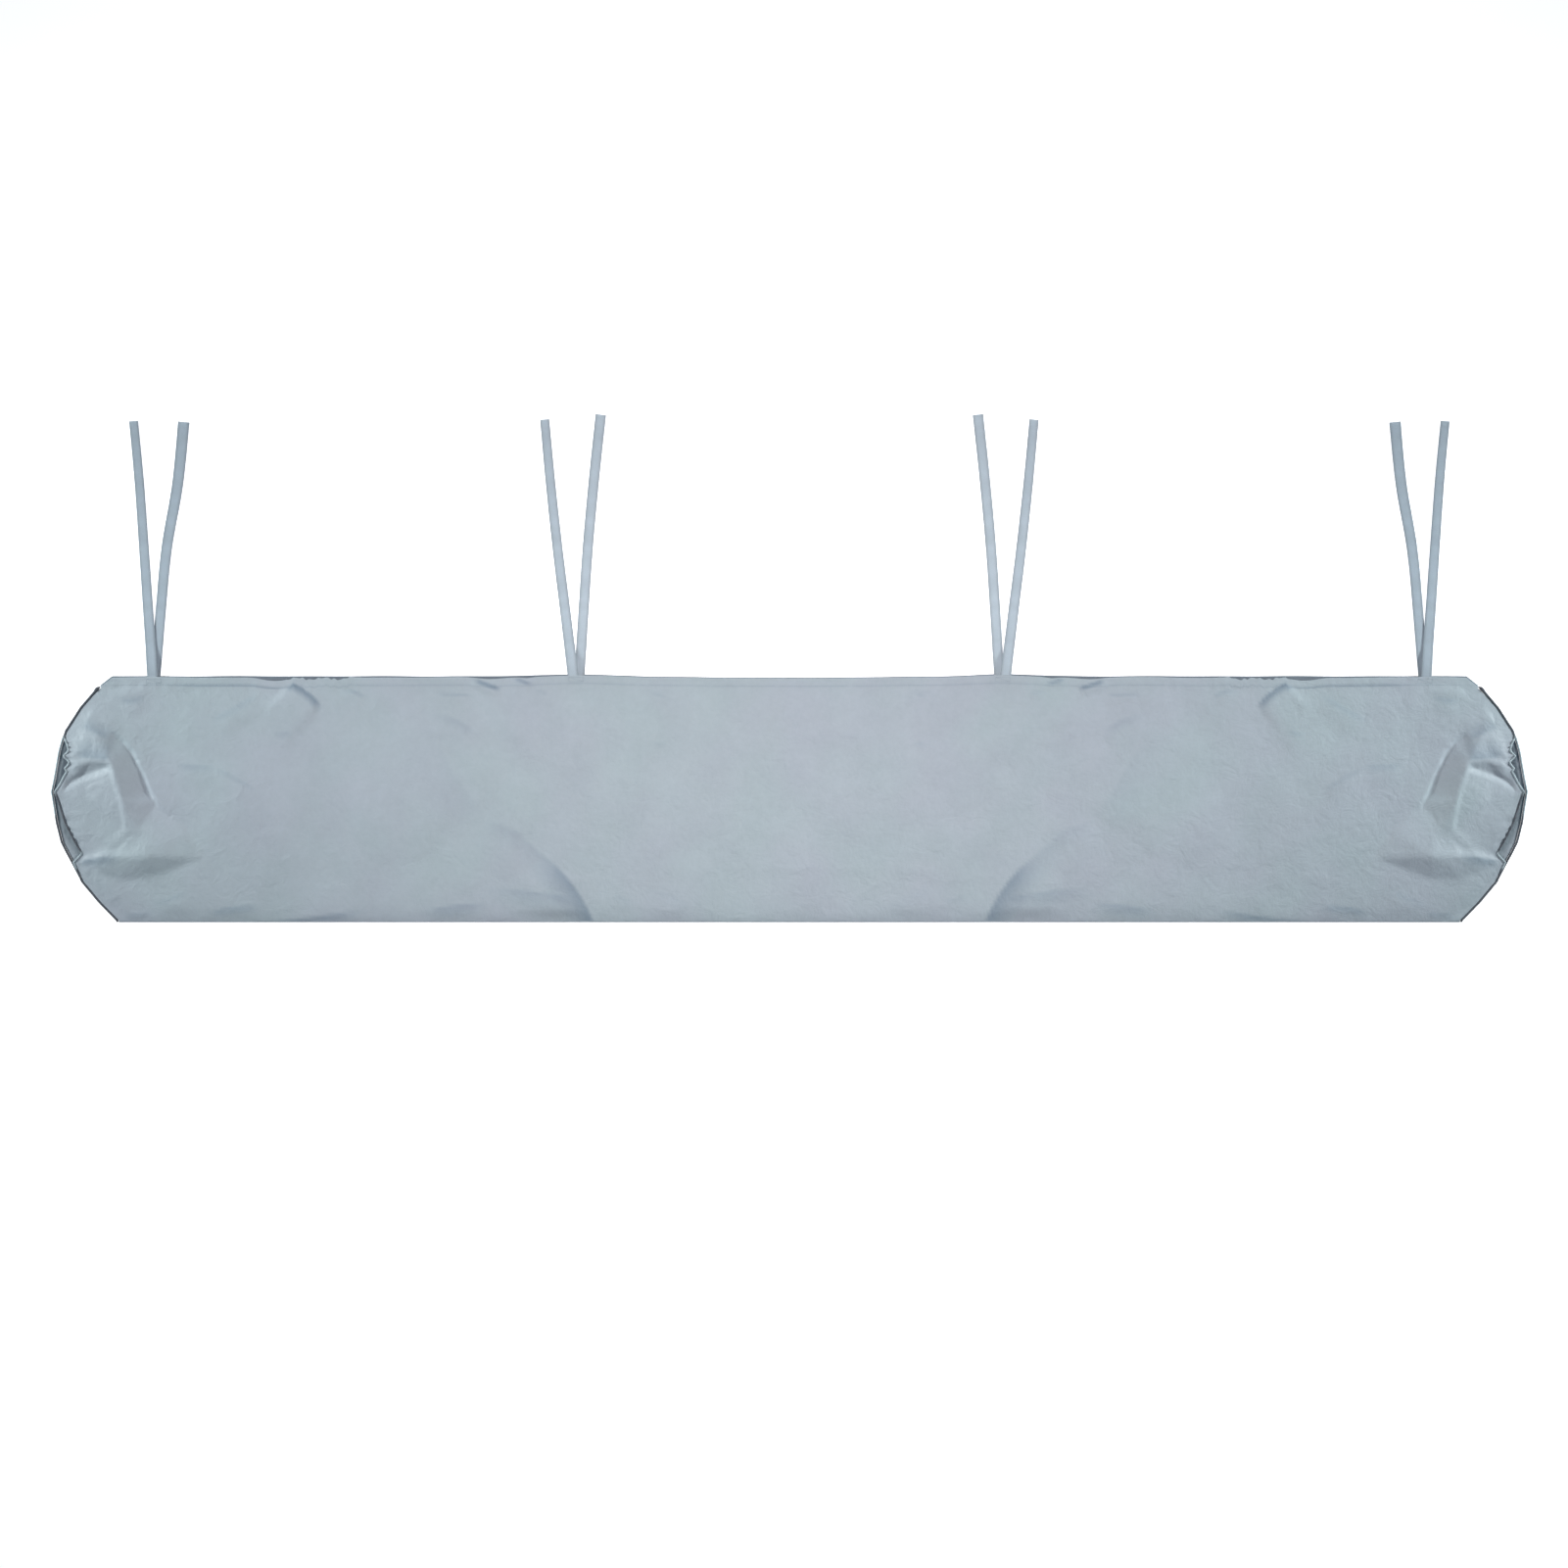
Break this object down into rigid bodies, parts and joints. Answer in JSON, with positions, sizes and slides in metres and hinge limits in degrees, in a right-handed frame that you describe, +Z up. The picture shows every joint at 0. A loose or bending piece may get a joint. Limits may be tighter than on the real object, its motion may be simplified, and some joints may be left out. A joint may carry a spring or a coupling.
{
  "type": "awning cover",
  "caption": "Long cloth sleeve for a rolled-up awning, open along the top edge, with elastic-gathered ends and pairs of tie tapes; lies flat.",
  "frame": {"origin": "on the ground under the middle of the whole outline, tapes included", "axes": "+X along the sleeve, +Y from the bottom fold to the tapes, +Z up"},
  "size_m": [2.9998, 1.032, 0.0359],
  "materials": {
    "coated_cloth": "smooth coated woven cloth, slight sheen",
    "tape": "matt woven tape",
    "elastic": "matt covered elastic"
  },
  "bodies": {
    "root": {"sleeve_cloth": "coated_cloth", "elastic_left": "elastic", "elastic_right": "elastic", "tape_left_outer_front": "tape", "tape_left_outer_back": "tape", "tape_left_inner_front": "tape", "tape_left_inner_back": "tape", "tape_right_outer_front": "tape", "tape_right_outer_back": "tape", "tape_right_inner_front": "tape", "tape_right_inner_back": "tape"}
  },
  "joints": []
}
